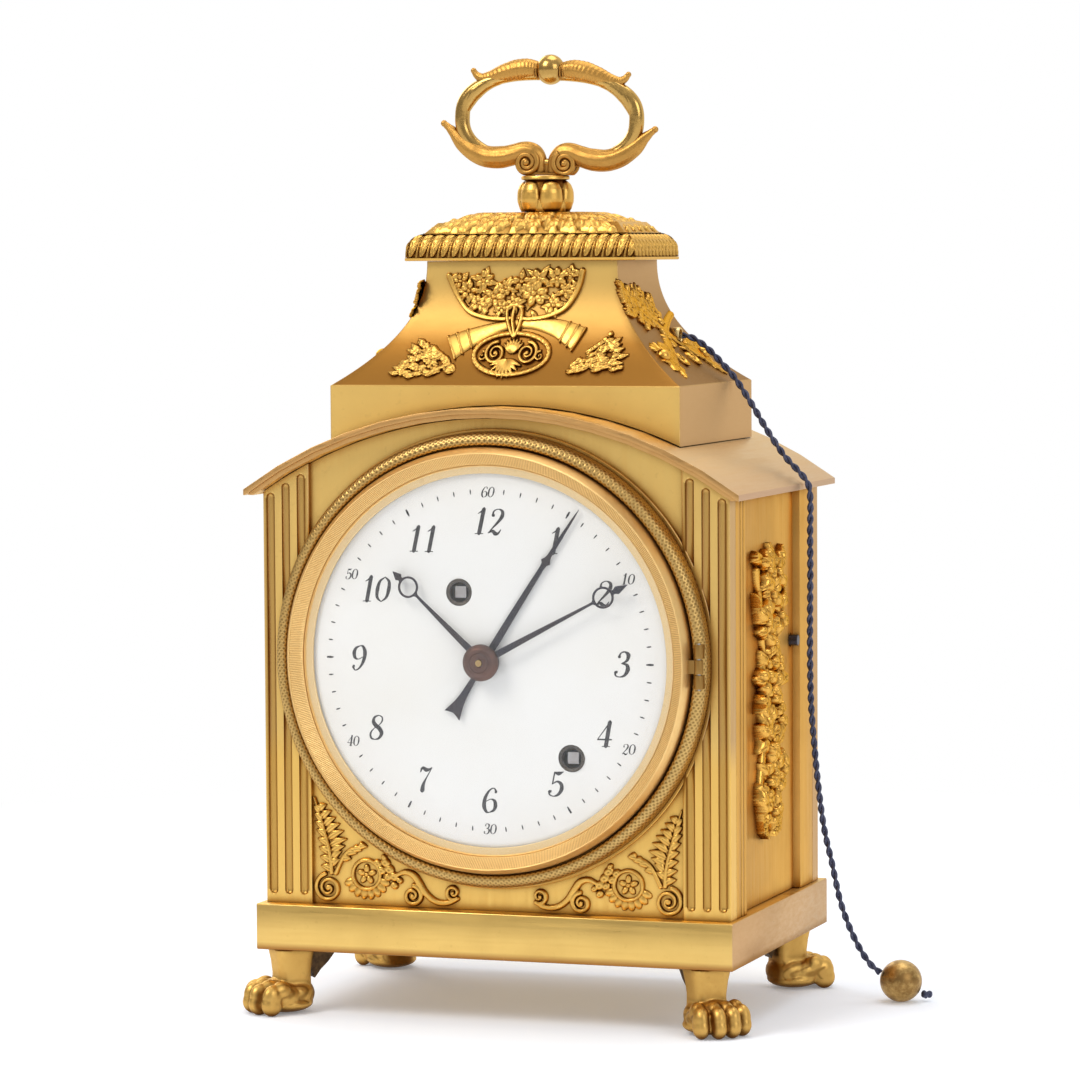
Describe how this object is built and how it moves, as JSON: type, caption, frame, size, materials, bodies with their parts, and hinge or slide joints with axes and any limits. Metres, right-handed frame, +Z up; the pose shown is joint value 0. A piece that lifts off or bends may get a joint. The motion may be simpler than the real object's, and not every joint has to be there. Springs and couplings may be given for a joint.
{
  "type": "officer's travelling clock",
  "caption": "Gilt bronze travelling clock on paw feet: arched case, flared hood with carrying handle, enamel dial under a hinged glass, alarm hand, bell and repeat cord.",
  "frame": {"origin": "on the surface that the clock stands on, under the middle of its box without the free cord", "axes": "+Z up, -Y towards someone who reads the dial, +X to their right, where the cord comes out"},
  "size_m": [0.1491, 0.092, 0.2207],
  "materials": {
    "gilt_bronze": "mercury gilt, part burnished and part matt",
    "pale_gilt_bronze": "gilt, worn to a paler tone",
    "brass": "polished",
    "steel": "polished",
    "blued_steel": "heat blued",
    "enamel": "glossy white enamel on copper",
    "bell_metal": "turned",
    "glass": "clear, domed",
    "cord": "twisted silk, dark blue"
  },
  "bodies": {
    "case": {"foot_front_left": "gilt_bronze", "foot_front_right": "gilt_bronze", "foot_rear_left": "gilt_bronze", "foot_rear_right": "gilt_bronze", "plinth": "gilt_bronze", "front_panel": "gilt_bronze", "rear_frame": "gilt_bronze", "roof": "gilt_bronze", "hood": "gilt_bronze", "cap": "gilt_bronze", "knop": "gilt_bronze", "handle": "gilt_bronze", "rope_ring": "gilt_bronze", "spandrel_mount_left": "gilt_bronze", "spandrel_mount_right": "gilt_bronze", "hood_mount_front": "gilt_bronze", "hood_mount_left": "gilt_bronze", "hood_mount_right": "gilt_bronze", "side_mount_left": "gilt_bronze", "side_mount_right": "gilt_bronze", "side_panel_left": "pale_gilt_bronze", "side_panel_right": "pale_gilt_bronze", "base_plate": "brass", "front_plate": "brass", "back_plate": "brass", "balance_cock": "brass", "drum_bracket": "brass", "cord_eyelet": "brass", "pull_ball": "brass", "back_door_pin": "steel", "bezel_hinge_pin": "steel", "dial": "enamel", "bell": "bell_metal", "cord": "cord", "cord_knot": "cord"},
    "bezel_leaf": {"bezel": "gilt_bronze", "glass": "glass"},
    "rear_door": {"back_door": "gilt_bronze"},
    "minute_work": {"minute_hand": "blued_steel", "hub_collet": "steel", "cannon_pinion": "steel", "centre_wheel": "brass"},
    "hour_work": {"hour_hand": "blued_steel", "hour_wheel": "brass"},
    "motion_wheel": {"minute_wheel": "brass"},
    "alarm_work": {"alarm_hand": "blued_steel"},
    "going_drum": {"going_barrel": "brass"},
    "going_key_arbor": {"going_winding_arbor": "steel"},
    "third_arbor": {"third_wheel": "brass"},
    "fourth_arbor": {"fourth_wheel": "brass"},
    "escape_arbor": {"escape_wheel": "brass"},
    "balance_staff": {"balance": "brass"},
    "strike_drum": {"strike_barrel": "brass"},
    "strike_key_arbor": {"strike_winding_arbor": "steel"},
    "pin_arbor": {"pin_wheel": "brass"},
    "fly_arbor": {"fly": "brass"},
    "bell_hammer": {"hammer": "steel"},
    "repeat_work": {"repeat_drum": "brass"},
    "stop_pin": {"stop_button": "blued_steel"}
  },
  "joints": [
    {"name": "bezel_hinge", "type": "hinge", "parent": "case", "child": "bezel_leaf", "pos_m": [0.0502, -0.03897, 0.0831], "axis": [0, 0, 1], "range_deg": [0, 100]},
    {"name": "back_door_hinge", "type": "hinge", "parent": "case", "child": "rear_door", "pos_m": [-0.0424, 0.03968, 0.07], "axis": [0, 0, 1], "range_deg": [0, 100]},
    {"name": "minute_turn", "type": "hinge", "parent": "case", "child": "minute_work", "pos_m": [0, 0.00223, 0.0831], "axis": [0, 1, 0], "continuous": true},
    {"name": "hour_turn", "type": "hinge", "parent": "case", "child": "hour_work", "pos_m": [0, 0.00223, 0.0831], "axis": [0, 1, 0], "continuous": true},
    {"name": "motion_wheel_turn", "type": "hinge", "parent": "case", "child": "motion_wheel", "pos_m": [-0.012, 0.00223, 0.0831], "axis": [0, 1, 0], "continuous": true},
    {"name": "alarm_set", "type": "hinge", "parent": "case", "child": "alarm_work", "pos_m": [0, 0.00223, 0.0831], "axis": [0, 1, 0], "continuous": true},
    {"name": "going_barrel_turn", "type": "hinge", "parent": "case", "child": "going_drum", "pos_m": [-0.0063, 0.00223, 0.0986], "axis": [0, 1, 0], "continuous": true},
    {"name": "going_wind", "type": "hinge", "parent": "case", "child": "going_key_arbor", "pos_m": [-0.0063, 0.00223, 0.0986], "axis": [0, 1, 0], "continuous": true},
    {"name": "third_turn", "type": "hinge", "parent": "case", "child": "third_arbor", "pos_m": [0.00983, 0.00223, 0.09135], "axis": [0, 1, 0], "continuous": true},
    {"name": "fourth_turn", "type": "hinge", "parent": "case", "child": "fourth_arbor", "pos_m": [0.01994, 0.00223, 0.08551], "axis": [0, 1, 0], "continuous": true},
    {"name": "escape_turn", "type": "hinge", "parent": "case", "child": "escape_arbor", "pos_m": [0.01583, 0.00223, 0.09261], "axis": [0, 1, 0], "continuous": true},
    {"name": "balance_swing", "type": "hinge", "parent": "case", "child": "balance_staff", "pos_m": [0.01365, 0.00223, 0.09863], "axis": [0, 1, 0], "range_deg": [-150, 150], "stiffness_Nm_per_rad": 0.00001},
    {"name": "strike_barrel_turn", "type": "hinge", "parent": "case", "child": "strike_drum", "pos_m": [0.02, 0.00223, 0.0617], "axis": [0, 1, 0], "continuous": true},
    {"name": "strike_wind", "type": "hinge", "parent": "case", "child": "strike_key_arbor", "pos_m": [0.02, 0.00223, 0.0617], "axis": [0, 1, 0], "continuous": true},
    {"name": "pin_wheel_turn", "type": "hinge", "parent": "case", "child": "pin_arbor", "pos_m": [0.00286, 0.00223, 0.0617], "axis": [0, 1, 0], "continuous": true},
    {"name": "fly_turn", "type": "hinge", "parent": "case", "child": "fly_arbor", "pos_m": [-0.00725, 0.00223, 0.05586], "axis": [0, 1, 0], "continuous": true},
    {"name": "hammer_lift", "type": "hinge", "parent": "case", "child": "bell_hammer", "pos_m": [-0.0314, 0.00223, 0.0881], "axis": [0, 1, 0], "range_deg": [0, 15], "stiffness_Nm_per_rad": 0.005},
    {"name": "repeat_pull", "type": "hinge", "parent": "case", "child": "repeat_work", "pos_m": [0.012, 0.01043, 0.1485], "axis": [0, 1, 0], "range_deg": [0, 300], "stiffness_Nm_per_rad": 0.001},
    {"name": "stop_press", "type": "slide", "parent": "case", "child": "stop_pin", "axis": [-1, 0, 0], "range_m": [0, 0.0012], "stiffness_N_per_m": 300}
  ],
  "couplings": [
    {"joint": "hour_turn", "follows": "minute_turn", "ratio": 0.083333},
    {"joint": "motion_wheel_turn", "follows": "minute_turn", "ratio": -0.33333},
    {"joint": "going_barrel_turn", "follows": "minute_turn", "ratio": -0.14286},
    {"joint": "third_turn", "follows": "minute_turn", "ratio": -6},
    {"joint": "fourth_turn", "follows": "minute_turn", "ratio": 36},
    {"joint": "escape_turn", "follows": "minute_turn", "ratio": -216},
    {"joint": "pin_wheel_turn", "follows": "strike_barrel_turn", "ratio": -7},
    {"joint": "fly_turn", "follows": "strike_barrel_turn", "ratio": 42}
  ]
}
